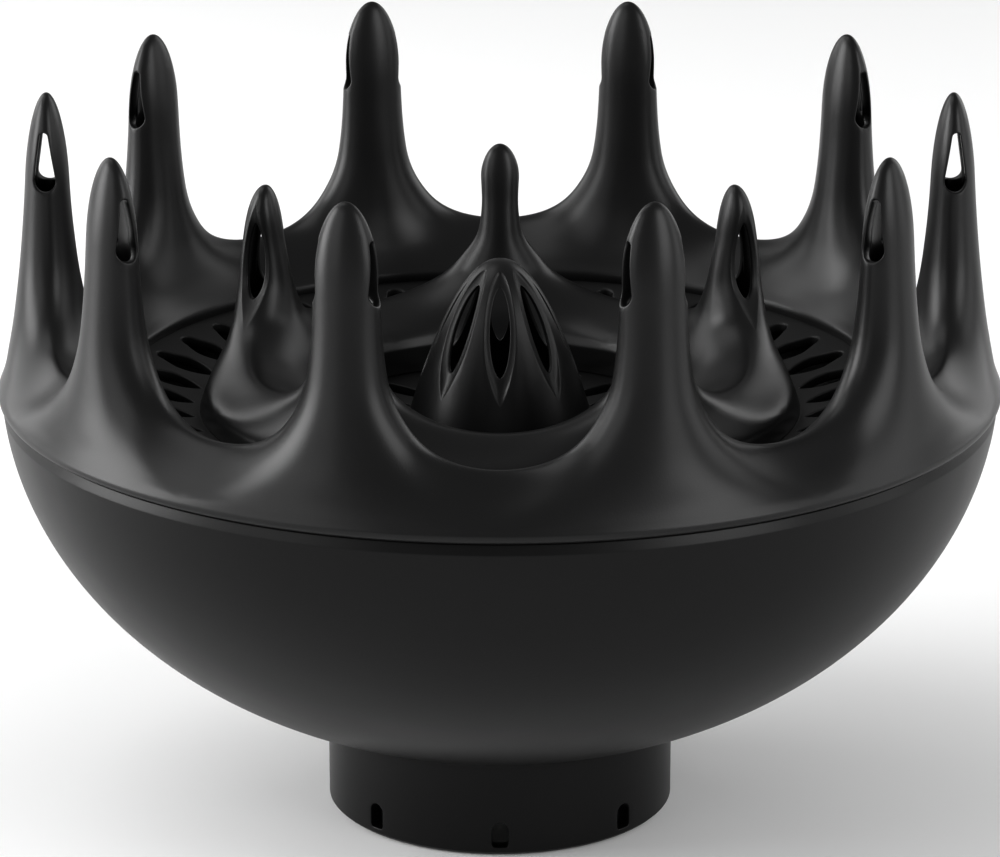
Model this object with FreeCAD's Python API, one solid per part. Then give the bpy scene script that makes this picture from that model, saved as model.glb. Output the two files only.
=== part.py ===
"""Diffuser attachment for a hair dryer: a bowl with a nozzle collar, topped by a crown of ten hollow
fingers, a slotted grille, an inner ring of five hollow fingers and a slotted centre cone.

Millimetres, +Z up. The origin is the middle of the collar's bottom edge; the front faces -Y.
Angles round the part are measured from the front, positive towards +X.
"""
import FreeCAD, Part
import math
import os

from FreeCAD import Vector, Matrix

# ---------------------------------------------------------------- driving dimensions
WALL = 1.7                  # moulded wall of the crown and the inner ring
RAY_POINTS = 26             # poles down each line of a finger's skin
RAY_FINE = 160              # trial points on the same line
TRIAL_CROWDING = 1.6        # above 1, the trial points crowd towards the finger's tip
RAY_CROWDING = 1.35         # the same for the poles
EDGE_STEPS = 12             # poles along each side of a finger's base
WALL_BLEND = 4.0            # height over which the base wall becomes the plain wall
CREST_SOFTNESS = 0.1        # share of the skin's reach over which a valley's crest is rounded
FLARE_OUTWARD = 0.8         # share of the flare on the outer and on the inner side of a valley
FLARE_INWARD = 0.5

# bowl and collar
COLLAR_RADIUS = 26.35
BORE_RADIUS = 24.0          # the dryer's nozzle slides in here
COLLAR_CHAMFER = 0.5
BOWL_WALL = 2.4
BOWL_RADIUS = 74.67         # the bowl is half an ellipse turned about Z
BOWL_CENTRE = 68.97
BOWL_DEPTH = 57.83
BOWL_RIM = 65.4
BEVEL_HEIGHT = 1.5
BEVEL_DEPTH = 0.4
TONGUE_OUTER = 71.8         # locates the crown on the rim
TONGUE_INNER = 70.5
TONGUE_TOP = 66.9
THROAT_RADIUS = 21.6        # the nozzle stops against this shoulder
THROAT_BOTTOM = 14.2
NECK_FILLET = 1.4
WINDOW_COUNT = 8
WINDOW_WIDTH = 2.5
WINDOW_SILL = 1.2
WINDOW_TOP = 5.1
GRIP_BOTTOM = 7.0
GRIP_TOP = 13.0
GRIP_GROOVE = 25.2
GRIP_GROOVE_LIP = 0.6       # chamfer at the soft ring's ends

# crown with ten outer fingers; lists are (height, half-depth) or (height, narrowness)
CROWN = {
    "count": 10,
    "first_angle": 18.0,
    "axis": 67.0,
    "tip": 110.5,
    "base": 67.3,
    "outward": [(67.3, 7.85), (69.5, 7.1), (72, 6.6), (77, 5.7), (88, 4.3), (98, 3.45), (110.5, 2.8)],
    "inward": [(67.3, 9.8), (69, 8.6), (72, 7.0), (78, 5.1), (86, 3.85), (95, 3.15), (110.5, 2.7)],
    "narrowness": [(67.3, 0), (70.5, 0.52), (73.7, 1), (79, 1.66), (86, 2.46), (93, 2.8), (110.5, 3.15)],
    "dome_depth": 12.5,
    "dome_width": 10.5,
    "flare": 1.9,
    "wall_outer": 2.95,     # wall at the base, outside and inside
    "wall_inner": 1.8,
}
CROWN_RIM = 75.05
CROWN_LAND = 65.9           # the crown's underside at the rim
CROWN_LAND_INNER = 71.9
CROWN_FLANGE = 66.2         # the crown's underside round the grille
CROWN_EDGE = 57.2
CROWN_POST_CIRCLE = 64.0    # screw posts under the crown's valleys
SEAL_OUTER = 73.8
SEAL_INNER = 72.0

# inner ring with five fingers
RING = {
    "count": 5,
    "first_angle": 36.0,
    "axis": 37.3,
    "tip": 93.5,
    "base": 65.0,
    "outward": [(65, 7.0), (67, 6.4), (70.7, 5.2), (75, 4.6), (80.5, 4.1), (86, 3.6), (93.5, 3.4)],
    "inward": [(65, 9.3), (68.5, 8.0), (71.3, 6.5), (74.2, 5.0), (80.5, 3.6), (86, 2.8), (93.5, 2.6)],
    "narrowness": [(65, 0), (67.3, 0.55), (69.4, 1), (71.2, 1.4), (73.3, 1.95), (76, 2.6), (80, 3.85),
                   (86, 4.75), (93.5, 5.2)],
    "dome_depth": 11.0,
    "dome_width": 5.5,
    "flare": 1.1,
    "wall_outer": 1.6,
    "wall_inner": 1.6,
}
RING_FOOT_RADIUS = 45.2
RING_FOOT = 62.5
RING_SKIRT_RADIUS = 27.6
RING_SKIRT = 60.0
RING_POST_CIRCLE = 38.5

# finger holes: (bottom, top, bottom radius, top radius) of a teardrop, and the inner fingers' pockets
OUTER_HOLE = (96.4, 105.2, 1.6, 0.62)
INNER_HOLE = (76.7, 88.0, 1.4, 0.6)
INNER_HOLE_SHIFT = 0.6      # the inner fingers' holes lie this far outwards of the finger's middle
POCKET = (72.8, 90.6)
POCKET_WIDTH = 4.6
POCKET_FLOOR = 2.35         # distance of a pocket's flat floor from the middle of the finger
POCKET_DEPTH = 0.9          # depth of the pocket lower down, where the finger flares

# grilles
GRILLE_THICK = 1.6
GRILLE_INNER = 43.2
GRILLE_FOOT = 45.4
GRILLE_SLOPE = 0.30
GRILLE_LAND = 60.4
OUTER_SLOTS = 40
OUTER_SLOT_INNER = 46.0
OUTER_SLOT_OUTER = 55.5
OUTER_SLOT_WIDTH = 5.2
OUTER_SLOT_END = 1.5
INNER_SLOTS = 20
INNER_SLOT_INNER = 15.0
INNER_SLOT_OUTER = 26.3
INNER_SLOT_WIDTH = 3.1
INNER_SLOT_END = 1.2
INNER_GRILLE_EDGE = 30.3

# centre cone, a paraboloid: radius = CONE_SPREAD * sqrt(drop below the top)
CONE_TOP = 85.1
CONE_FOOT = 60.0
CONE_SPREAD = 2.80
CONE_WALL = 1.5
CONE_SLOTS = 8
CONE_SPIGOT = 12.2
CONE_HOLE = (69.5, 81.6)
CONE_HOLE_WIDTH = 3.0
CONE_RECESS = (65.6, 83.8)
CONE_RECESS_WIDTH = 4.7
CONE_RECESS_DEPTH = 0.6

# air deflector below the inner grille
DEFLECTOR_RADIUS = 24.5
DEFLECTOR_TIP = 40.0
DEFLECTOR_EDGE = 49.0
DEFLECTOR_THICK = 1.7
DEFLECTOR_POSTS = 4
DEFLECTOR_POST_CIRCLE = 22.0
DEFLECTOR_POST_RADIUS = 1.9
DEFLECTOR_PIN_RADIUS = 1.2
DEFLECTOR_PIN = 1.0

# screws that hold the grille to the crown and to the inner ring
SCREW_COUNT = 5
SCREW_SHANK = 1.0
SCREW_HEAD = 2.1
SCREW_HEAD_HEIGHT = 1.3
SCREW_SLOT = 0.6
SCREW_GRIP = 2.4            # depth of thread in the post
POST_RADIUS = 2.4
PAD_RADIUS = 3.4


# ---------------------------------------------------------------- small helpers
def smooth(points, x):
    """Height at x of the curve through a few (x, y) points, with no overshoot between them."""
    last = len(points) - 1
    step = [points[i + 1][0] - points[i][0] for i in range(last)]
    rise = [(points[i + 1][1] - points[i][1]) / step[i] for i in range(last)]
    slope = [rise[0]]
    for i in range(1, last):
        same_way = rise[i - 1] * rise[i] > 0
        slope.append(2 * rise[i - 1] * rise[i] / (rise[i - 1] + rise[i]) if same_way else 0.0)
    slope.append(rise[-1])
    i = 0
    while i < last - 1 and x > points[i + 1][0]:
        i += 1
    t = min(max((x - points[i][0]) / step[i], 0.0), 1.0)
    start = (2 * t**3 - 3 * t**2 + 1) * points[i][1] + (t**3 - 2 * t**2 + t) * step[i] * slope[i]
    end = (3 * t**2 - 2 * t**3) * points[i + 1][1] + (t**3 - t**2) * step[i] * slope[i + 1]
    return start + end


def turned(shape, degrees):
    """A copy of a shape turned about the part's axis."""
    copy = shape.copy()
    copy.rotate(Vector(0, 0, 0), Vector(0, 0, 1), degrees)
    return copy


def lathe(points):
    """A solid of revolution about Z from (radius, z) corners."""
    corners = [Vector(r, 0, z) for r, z in points]
    wire = Part.makePolygon(corners + [corners[0]])
    return Part.Face(wire).revolve(Vector(0, 0, 0), Vector(0, 0, 1), 360)


def tube(outer, inner, bottom, top):
    return lathe([(inner, bottom), (outer, bottom), (outer, top), (inner, top)])


def radial_frame(degrees, radius=0.0):
    """Placement whose local X points outwards, Y along the ring and Z up, at this angle."""
    angle = math.radians(degrees)
    out = Vector(math.sin(angle), -math.cos(angle), 0)
    along = Vector(math.cos(angle), math.sin(angle), 0)
    place = out * radius
    return Matrix(out.x, along.x, 0, place.x,
                  out.y, along.y, 0, place.y,
                  0, 0, 1, 0,
                  0, 0, 0, 1)


def placed(shape, degrees, radius=0.0):
    copy = shape.copy()
    copy.transformShape(radial_frame(degrees, radius))
    return copy


# ---------------------------------------------------------------- finger surface
def dome(drop, depth):
    """Share of the full section left at this drop below a finger's tip."""
    if drop >= depth:
        return 1.0
    return math.sqrt(max(0.0, 1 - (1 - drop / depth)**2))


def inner_skin(ring):
    """The same ring, one wall thickness in."""
    skin = dict(ring)
    skin["tip"] = ring["tip"] - 2 * WALL
    skin["is_inner"] = True
    return skin


def section(ring, z, outside):
    """Half-depth and narrowness of a finger's section at a height."""
    is_inner = ring.get("is_inner", False)
    blend = min(1.0, (z - ring["base"]) / WALL_BLEND)
    outer_z = z + WALL * blend if is_inner else z
    side = "outward" if outside else "inward"
    depth = smooth(ring[side], outer_z)
    narrowness = smooth(ring["narrowness"], outer_z)
    if is_inner:
        base_wall = ring["wall_outer"] if outside else ring["wall_inner"]
        depth -= WALL * blend + base_wall * (1 - blend)
        if narrowness > 1:
            half_width = 1 / narrowness
            thinner = ring["count"] * WALL / (2 * ring["axis"]) * math.sqrt(1 - half_width**2)
            narrowness = 1 / max(half_width - thinner, 0.02)
    drop = ring["tip"] - z
    return depth * dome(drop, ring["dome_depth"]), narrowness / max(dome(drop, ring["dome_width"]), 1e-6)


def level(ring, offset, angle):
    """Height of the ring's surface at a radial offset from the finger circle and an angle in radians."""
    wave = abs(math.sin(ring["count"] * angle / 2))
    low = ring["base"]
    high = ring["tip"]
    for _ in range(36):
        middle = (low + high) / 2
        depth, narrowness = section(ring, middle, offset > 0)
        if depth > 1e-9 and (offset / depth)**2 + (narrowness * wave)**2 < 1:
            low = middle
        else:
            high = middle
    reach = section(ring, ring["base"], offset > 0)[0]
    share = min(abs(offset) / reach, 1.0)
    soft = math.hypot(share, CREST_SOFTNESS) - CREST_SOFTNESS
    soft /= math.hypot(1, CREST_SOFTNESS) - CREST_SOFTNESS
    side = FLARE_OUTWARD if offset > 0 else FLARE_INWARD
    return low - ring["flare"] * side * wave**4 * math.sin(math.pi * soft)


def ray(ring, offset, angle, count):
    """Points down the surface from a finger's tip to the base point at (offset, angle)."""
    line = []
    for i in range(RAY_FINE + 1):
        share = (i / RAY_FINE)**TRIAL_CROWDING
        line.append((offset * share, angle * share, level(ring, offset * share, angle * share)))
    run = [0.0]
    for a, b in zip(line, line[1:]):
        arc = (b[1] - a[1]) * ring["axis"]
        run.append(run[-1] + math.sqrt((b[0] - a[0])**2 + arc**2 + (b[2] - a[2])**2))
    points = []
    at = 0
    for i in range(count):
        target = run[-1] * (i / (count - 1))**RAY_CROWDING
        while at < RAY_FINE - 1 and run[at + 1] < target:
            at += 1
        share = (target - run[at]) / max(run[at + 1] - run[at], 1e-9)
        place = [a + share * (b - a) for a, b in zip(line[at], line[at + 1])]
        points.append((ring["axis"] + place[0], place[1], place[2]))
    return points


def patch(rows):
    """A smooth face whose poles are a grid of points."""
    v_count = len(rows[0])
    surface = Part.BSplineSurface()
    knots = []
    mults = []
    degrees = [min(3, count - 1) for count in (len(rows), v_count)]
    for count, degree in zip((len(rows), v_count), degrees):
        spans = count - degree
        knots.append([i / spans for i in range(spans + 1)])
        mults.append([degree + 1] + [1] * (spans - 1) + [degree + 1])
    surface.buildFromPolesMultsKnots(rows, mults[0], mults[1], knots[0], knots[1], False, False, *degrees)
    return surface.toShape()


def finger_edges(ring):
    """Base points round one finger, side by side: outside, left valley, inside, right valley."""
    reach_out = section(ring, ring["base"], True)[0]
    reach_in = section(ring, ring["base"], False)[0]
    half = math.pi / ring["count"]
    sides = [[], [], [], []]
    for i in range(EDGE_STEPS + 1):
        share = i / EDGE_STEPS
        sides[0].append((reach_out, half * (1 - 2 * share)))
        sides[1].append((reach_out - (reach_out + reach_in) * share, -half))
        sides[2].append((-reach_in, -half * (1 - 2 * share)))
        sides[3].append((-reach_in + (reach_out + reach_in) * share, half))
    return sides


def arc_row(radius, z, half):
    """Poles along a finger's share of a circle."""
    return [(radius, half * (1 - 2 * i / EDGE_STEPS), z) for i in range(EDGE_STEPS + 1)]


def to_vector(point):
    radius, angle, z = point
    return Vector(radius * math.sin(angle), -radius * math.cos(angle), z)


def skin_faces(skin):
    """The four smooth faces round one finger. Its two halves mirror each other, so a ray is worked
    out once and used on both sides."""
    known = {}
    faces = []
    for side in finger_edges(skin):
        rows = []
        for offset, angle in side:
            key = (round(offset, 6), round(abs(angle), 6))
            if key not in known:
                known[key] = ray(skin, offset, abs(angle), RAY_POINTS)
            sign = -1 if angle < 0 else 1
            rows.append([to_vector((r, sign * turn, z)) for r, turn, z in known[key]])
        faces.append(patch(rows))
    return faces


def ring_solid(ring, rim, lip):
    """Hollow finger ring. rim and lip are the (radius, z) corners that close it at its outer and
    inner base edges, from the outer skin to the inner skin."""
    skins = [ring, inner_skin(ring)]
    half = math.pi / ring["count"]
    faces = []
    for skin in skins:
        faces += skin_faces(skin)
    for corners, outside in ((rim, True), (lip, False)):
        ends = []
        for skin in skins:
            reach = section(skin, skin["base"], outside)[0]
            ends.append(skin["axis"] + (reach if outside else -reach))
        chain = [(ends[0], ring["base"])] + corners + [(ends[1], ring["base"])]
        for a, b in zip(chain, chain[1:]):
            rows = [[to_vector(p) for p in arc_row(r, z, half)] for r, z in (a, b)]
            faces.append(patch(rows))
    every = []
    for i in range(ring["count"]):
        degrees = ring["first_angle"] + 360 / ring["count"] * i
        every += [turned(face, degrees) for face in faces]
    shell = Part.makeShell(every)
    shell.sewShape()
    solid = Part.makeSolid(Part.makeShell(shell.Faces))
    if solid.Volume < 0:
        solid.reverse()
    return solid


# ---------------------------------------------------------------- outlines
def teardrop(bottom, top, low_radius, high_radius):
    """Upright teardrop in the local XZ plane: two circles and the lines that touch them both."""
    low = bottom + low_radius
    high = top - high_radius
    lean = math.asin((low_radius - high_radius) / (high - low))
    side = Vector(math.cos(lean), 0, math.sin(lean))
    mirror = Vector(-side.x, 0, side.z)
    low_centre = Vector(0, 0, low)
    high_centre = Vector(0, 0, high)
    corners = [low_centre + side * low_radius, high_centre + side * high_radius,
               high_centre + mirror * high_radius, low_centre + mirror * low_radius]
    edges = [Part.LineSegment(corners[0], corners[1]),
             Part.Arc(corners[1], Vector(0, 0, top), corners[2]),
             Part.LineSegment(corners[2], corners[3]),
             Part.Arc(corners[3], Vector(0, 0, bottom), corners[0])]
    return Part.Face(Part.Wire([edge.toShape() for edge in edges]))


def lens(low, high, width, along, across):
    """Almond between two points on the line `along`, made of two arcs that meet at its tips."""
    middle = (low + high) / 2
    ends = [along * low, along * high]
    edges = [Part.Arc(ends[0], along * middle + across * (width / 2), ends[1]),
             Part.Arc(ends[1], along * middle - across * (width / 2), ends[0])]
    return Part.Face(Part.Wire([edge.toShape() for edge in edges]))


def leaf(inner, outer, width, end_radius):
    """Grille slot in the local XY plane: pointed at its inner end and round at its outer end."""
    widest = inner + 0.56 * (outer - inner)
    shoulder = outer - end_radius
    left = Part.Arc(Vector(inner, 0, 0), Vector((inner + widest) / 2, 0.39 * width, 0),
                    Vector(widest, width / 2, 0))
    right = Part.Arc(Vector(widest, -width / 2, 0), Vector((inner + widest) / 2, -0.39 * width, 0),
                     Vector(inner, 0, 0))
    left_end = Part.LineSegment(Vector(widest, width / 2, 0), Vector(shoulder, end_radius, 0))
    right_end = Part.LineSegment(Vector(shoulder, -end_radius, 0), Vector(widest, -width / 2, 0))
    cap = Part.Arc(Vector(shoulder, end_radius, 0), Vector(outer, 0, 0), Vector(shoulder, -end_radius, 0))
    return Part.Face(Part.Wire([edge.toShape() for edge in (left, left_end, cap, right_end, right)]))


def spun(shape, count, first=0.0):
    """Copies of a shape made in the local frame, spread evenly round the part."""
    return [placed(shape, first + 360 / count * i) for i in range(count)]


def upright(radius, circle, bottom, top):
    """A vertical cylinder standing on a circle, in the local frame."""
    return Part.makeCylinder(radius, top - bottom, Vector(circle, 0, bottom))


# ---------------------------------------------------------------- the pieces
def ellipse_edge(radius, depth, low, high):
    """Stretch of the bowl's elliptical outline between two heights."""
    centre = Vector(0, 0, BOWL_CENTRE)
    ellipse = Part.Ellipse(Vector(radius, 0, BOWL_CENTRE), Vector(0, 0, BOWL_CENTRE - depth), centre)
    start = math.asin((BOWL_CENTRE - high) / depth)
    end = math.asin((BOWL_CENTRE - low) / depth)
    return Part.Arc(ellipse, start, end).toShape()


def ellipse_height(radius, depth, at):
    return BOWL_CENTRE - depth * math.sqrt(1 - (at / radius)**2)


def ellipse_radius(radius, depth, z):
    return radius * math.sqrt(1 - ((BOWL_CENTRE - z) / depth)**2)


def bowl_shell():
    inner_radius = BOWL_RADIUS - BOWL_WALL
    inner_depth = BOWL_DEPTH - BOWL_WALL
    neck_top = ellipse_height(BOWL_RADIUS, BOWL_DEPTH, COLLAR_RADIUS)
    throat_top = ellipse_height(inner_radius, inner_depth, THROAT_RADIUS)
    bevel_low = BOWL_RIM - BEVEL_HEIGHT
    bevel_radius = ellipse_radius(BOWL_RADIUS, BOWL_DEPTH, bevel_low)
    inside_top = TONGUE_TOP - 3.9
    inside_radius = ellipse_radius(inner_radius, inner_depth, inside_top)
    outer = ellipse_edge(BOWL_RADIUS, BOWL_DEPTH, neck_top, bevel_low)
    inner = ellipse_edge(inner_radius, inner_depth, throat_top, inside_top)
    rim = [(bevel_radius, bevel_low), (bevel_radius - BEVEL_DEPTH, BOWL_RIM), (TONGUE_OUTER, BOWL_RIM),
           (TONGUE_OUTER, TONGUE_TOP), (TONGUE_INNER, TONGUE_TOP), (TONGUE_INNER, inside_top + 1.6),
           (inside_radius, inside_top)]
    collar = [(THROAT_RADIUS, throat_top), (THROAT_RADIUS, THROAT_BOTTOM), (BORE_RADIUS, THROAT_BOTTOM),
              (BORE_RADIUS, GRIP_TOP), (GRIP_GROOVE, GRIP_TOP), (GRIP_GROOVE, GRIP_BOTTOM),
              (BORE_RADIUS, GRIP_BOTTOM), (BORE_RADIUS, COLLAR_CHAMFER),
              (BORE_RADIUS + COLLAR_CHAMFER, 0), (COLLAR_RADIUS - COLLAR_CHAMFER, 0),
              (COLLAR_RADIUS, COLLAR_CHAMFER), (COLLAR_RADIUS, neck_top)]
    edges = [outer, inner]
    for chain in (rim, collar):
        for a, b in zip(chain, chain[1:]):
            edges.append(Part.LineSegment(Vector(a[0], 0, a[1]), Vector(b[0], 0, b[1])).toShape())
    wire = Part.Wire(Part.__sortEdges__(edges))
    shell = Part.Face(wire).revolve(Vector(0, 0, 0), Vector(0, 0, 1), 360)
    neck_edges = [edge for edge in shell.Edges
                  if abs(edge.BoundBox.ZMax - neck_top) < 0.01 and abs(edge.BoundBox.ZMin - neck_top) < 0.01]
    shell = shell.makeFillet(NECK_FILLET, neck_edges)
    return shell.cut(windows())


def windows():
    """Arched windows through the collar."""
    half = WINDOW_WIDTH / 2
    spring = WINDOW_TOP - half
    corners = [Vector(0, half, spring), Vector(0, half, WINDOW_SILL),
               Vector(0, -half, WINDOW_SILL), Vector(0, -half, spring)]
    edges = [Part.LineSegment(a, b).toShape() for a, b in zip(corners, corners[1:])]
    edges.append(Part.Arc(corners[3], Vector(0, 0, WINDOW_TOP), corners[0]).toShape())
    arch = Part.Face(Part.Wire(edges))
    arch.translate(Vector(BORE_RADIUS - 2, 0, 0))
    return spun(arch.extrude(Vector(6, 0, 0)), WINDOW_COUNT)


def nozzle_grip_ring():
    """Soft ring in the collar that grips the dryer's nozzle, drawn pressed flush with the bore."""
    lip = GRIP_GROOVE_LIP
    return lathe([(GRIP_GROOVE, GRIP_BOTTOM), (GRIP_GROOVE, GRIP_TOP), (BORE_RADIUS + lip, GRIP_TOP),
                  (BORE_RADIUS, GRIP_TOP - lip), (BORE_RADIUS, GRIP_BOTTOM + lip),
                  (BORE_RADIUS + lip, GRIP_BOTTOM)])


def crown_seal_ring():
    return tube(SEAL_OUTER, SEAL_INNER, BOWL_RIM, CROWN_LAND)


def screw_posts(ring, circle, bottom):
    """Posts under the valleys, in the local frame, with the screw's pilot holes."""
    half = math.pi / ring["count"]
    offset = circle - ring["axis"]
    top = min(level(ring, offset - POST_RADIUS, half), level(ring, offset + POST_RADIUS, half)) - 0.4
    post = upright(POST_RADIUS, circle, bottom, top)
    pilot = upright(SCREW_SHANK, circle, bottom, bottom + SCREW_GRIP)
    return post, pilot


def with_posts(body, ring, circle, bottom):
    post, pilot = screw_posts(ring, circle, bottom)
    body = body.fuse(spun(post, SCREW_COUNT))
    return body.cut(spun(pilot, SCREW_COUNT))


def finger_holes(ring, hole, shift):
    """Teardrop holes right through every finger, along the ring."""
    outline = teardrop(*hole)
    outline.translate(Vector(ring["axis"] + shift, -8, 0))
    return spun(outline.extrude(Vector(0, 16, 0)), ring["count"], ring["first_angle"])


def crown_shell():
    rim = [(CROWN_RIM, 66.9), (CROWN_RIM - 0.05, 66.4), (CROWN_RIM - 0.55, CROWN_LAND),
           (CROWN_LAND_INNER, CROWN_LAND)]
    lip = [(CROWN_EDGE, CROWN_FLANGE), (CROWN_EDGE + 1.8, CROWN_FLANGE)]
    crown = ring_solid(CROWN, rim, lip)
    crown = with_posts(crown, CROWN, CROWN_POST_CIRCLE, CROWN_FLANGE)
    return crown.cut(finger_holes(CROWN, OUTER_HOLE, 0.2))


def half_width(ring, z):
    """Half of a finger's width along the ring at a height above its valleys."""
    return ring["axis"] * math.asin(1 / smooth(ring["narrowness"], z)) * 2 / ring["count"]


def pockets():
    """Shallow almond pockets on both sides of the inner fingers, round their holes. The floor is flat
    on the slim part of the finger and follows its skin lower down, where it flares."""
    low, high = POCKET
    reach = 12
    steps = 10
    heights = [low + (high - low) * i / steps for i in range(steps + 1)]
    floor = [Vector(0, max(POCKET_FLOOR, half_width(RING, z) - POCKET_DEPTH), z) for z in heights]
    corners = floor + [Vector(0, reach, high), Vector(0, reach, low)]
    beyond = Part.Face(Part.makePolygon(corners + [corners[0]]))
    beyond.translate(Vector(RING["axis"] - reach / 2, 0, 0))
    outline = lens(low, high, POCKET_WIDTH, Vector(0, 0, 1), Vector(1, 0, 0))
    outline.translate(Vector(RING["axis"] + INNER_HOLE_SHIFT, 0, 0))
    side = outline.extrude(Vector(0, reach, 0)).common(beyond.extrude(Vector(reach, 0, 0)))
    other = side.mirror(Vector(0, 0, 0), Vector(0, 1, 0))
    return [cut for shape in (side, other) for cut in spun(shape, RING["count"], RING["first_angle"])]


def inner_finger_ring():
    rim = [(RING_FOOT_RADIUS - 0.7, 64.6), (RING_FOOT_RADIUS, RING_FOOT), (GRILLE_INNER + 0.2, RING_FOOT)]
    lip = [(RING_SKIRT_RADIUS, 64.2), (RING_SKIRT_RADIUS, RING_SKIRT), (RING_SKIRT_RADIUS + 1.6, RING_SKIRT)]
    ring = ring_solid(RING, rim, lip)
    ring = with_posts(ring, RING, RING_POST_CIRCLE, RING_FOOT)
    return ring.cut(pockets() + finger_holes(RING, INNER_HOLE, INNER_HOLE_SHIFT))


def tab(circle, root, bottom):
    """Round-ended tab of the grille's thickness, from its root circle out or in to a screw circle."""
    end = upright(PAD_RADIUS, circle, bottom, bottom + GRILLE_THICK)
    length = abs(root - circle)
    corner = Vector(min(root, circle), -PAD_RADIUS, bottom)
    return end.fuse(Part.makeBox(length, 2 * PAD_RADIUS, GRILLE_THICK, corner))


def outer_grille():
    """Dished plate with radial slots, an outer land with ears under the crown and pads under the ring."""
    land = GRILLE_FOOT + (CROWN_FLANGE - RING_FOOT) / GRILLE_SLOPE
    lip_top = CROWN_FLANGE + 0.9
    lip_inner = CROWN_EDGE + 1.9
    plate = lathe([(GRILLE_INNER, RING_FOOT - GRILLE_THICK), (GRILLE_FOOT, RING_FOOT - GRILLE_THICK),
                   (land, CROWN_FLANGE - GRILLE_THICK), (GRILLE_LAND, CROWN_FLANGE - GRILLE_THICK),
                   (GRILLE_LAND, lip_top), (lip_inner, lip_top), (lip_inner, CROWN_FLANGE),
                   (land, CROWN_FLANGE), (GRILLE_FOOT, RING_FOOT), (GRILLE_INNER, RING_FOOT)])
    ear = tab(CROWN_POST_CIRCLE, GRILLE_LAND - 0.5, CROWN_FLANGE - GRILLE_THICK)
    pad = tab(RING_POST_CIRCLE, GRILLE_INNER + 0.5, RING_FOOT - GRILLE_THICK)
    plate = plate.fuse(spun(ear, SCREW_COUNT) + spun(pad, SCREW_COUNT))
    slot = leaf(OUTER_SLOT_INNER, OUTER_SLOT_OUTER, OUTER_SLOT_WIDTH, OUTER_SLOT_END)
    slot.translate(Vector(0, 0, 55))
    holes = spun(slot.extrude(Vector(0, 0, 20)), OUTER_SLOTS)
    holes += spun(upright(SCREW_SHANK, CROWN_POST_CIRCLE, 55, 66.5), SCREW_COUNT)
    holes += spun(upright(SCREW_SHANK, RING_POST_CIRCLE, 55, 66.5), SCREW_COUNT)
    return plate.cut(holes)


def inner_grille():
    """Flat slotted floor round the cone, with a collar outside the ring's skirt."""
    skirt = RING_SKIRT_RADIUS + 1.7
    bottom = RING_SKIRT - GRILLE_THICK
    plate = lathe([(CONE_SPIGOT + 0.05, bottom), (INNER_GRILLE_EDGE, bottom),
                   (INNER_GRILLE_EDGE, RING_SKIRT + 2.2), (skirt, RING_SKIRT + 2.2), (skirt, RING_SKIRT),
                   (CONE_SPIGOT + 0.05, RING_SKIRT)])
    slot = leaf(INNER_SLOT_INNER, INNER_SLOT_OUTER, INNER_SLOT_WIDTH, INNER_SLOT_END)
    slot.translate(Vector(0, 0, 50))
    holes = spun(slot.extrude(Vector(0, 0, 20)), INNER_SLOTS, 180 / INNER_SLOTS)
    socket = upright(DEFLECTOR_PIN_RADIUS, DEFLECTOR_POST_CIRCLE, bottom, bottom + DEFLECTOR_PIN)
    return plate.cut(holes + spun(socket, DEFLECTOR_POSTS))


def paraboloid(top, foot_radius, foot):
    """Solid under a parabola turned about Z; three Bezier poles give the parabola exactly."""
    curve = Part.BezierCurve()
    curve.setPoles([Vector(0, 0, top), Vector(foot_radius / 2, 0, top), Vector(foot_radius, 0, foot)])
    edges = [curve.toShape(),
             Part.LineSegment(Vector(foot_radius, 0, foot), Vector(0, 0, foot)).toShape(),
             Part.LineSegment(Vector(0, 0, foot), Vector(0, 0, top)).toShape()]
    return Part.Face(Part.Wire(edges)).revolve(Vector(0, 0, 0), Vector(0, 0, 1), 360)


def centre_cone():
    foot_radius = CONE_SPREAD * math.sqrt(CONE_TOP - CONE_FOOT)
    outside = paraboloid(CONE_TOP, foot_radius, CONE_FOOT)
    hollow = paraboloid(CONE_TOP - 1.1 * CONE_WALL, foot_radius - CONE_WALL, CONE_FOOT - 0.01)
    floor = paraboloid(CONE_TOP - CONE_RECESS_DEPTH, foot_radius - CONE_RECESS_DEPTH, CONE_FOOT - 0.01)
    foot_middle = foot_radius - CONE_WALL / 2
    spigot = lathe([(CONE_SPIGOT - 1.2, CONE_FOOT - 2.6), (CONE_SPIGOT, CONE_FOOT - 2.6),
                    (CONE_SPIGOT, CONE_FOOT), (foot_middle, CONE_FOOT),
                    (foot_middle, CONE_FOOT + 1.2), (CONE_SPIGOT - 1.2, CONE_FOOT + 1.2)])
    up = Vector(0, 0, 1)
    along = Vector(0, 1, 0)
    out = Vector(20, 0, 0)
    recess = lens(CONE_RECESS[0], CONE_RECESS[1], CONE_RECESS_WIDTH, up, along).extrude(out)
    hole = lens(CONE_HOLE[0], CONE_HOLE[1], CONE_HOLE_WIDTH, up, along).extrude(out)
    skin = outside.cut(floor)
    cuts = [skin.common(shape) for shape in spun(recess, CONE_SLOTS)]
    body = outside.cut(hollow).fuse(spigot)
    return body.cut(cuts + spun(hole, CONE_SLOTS))


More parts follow.
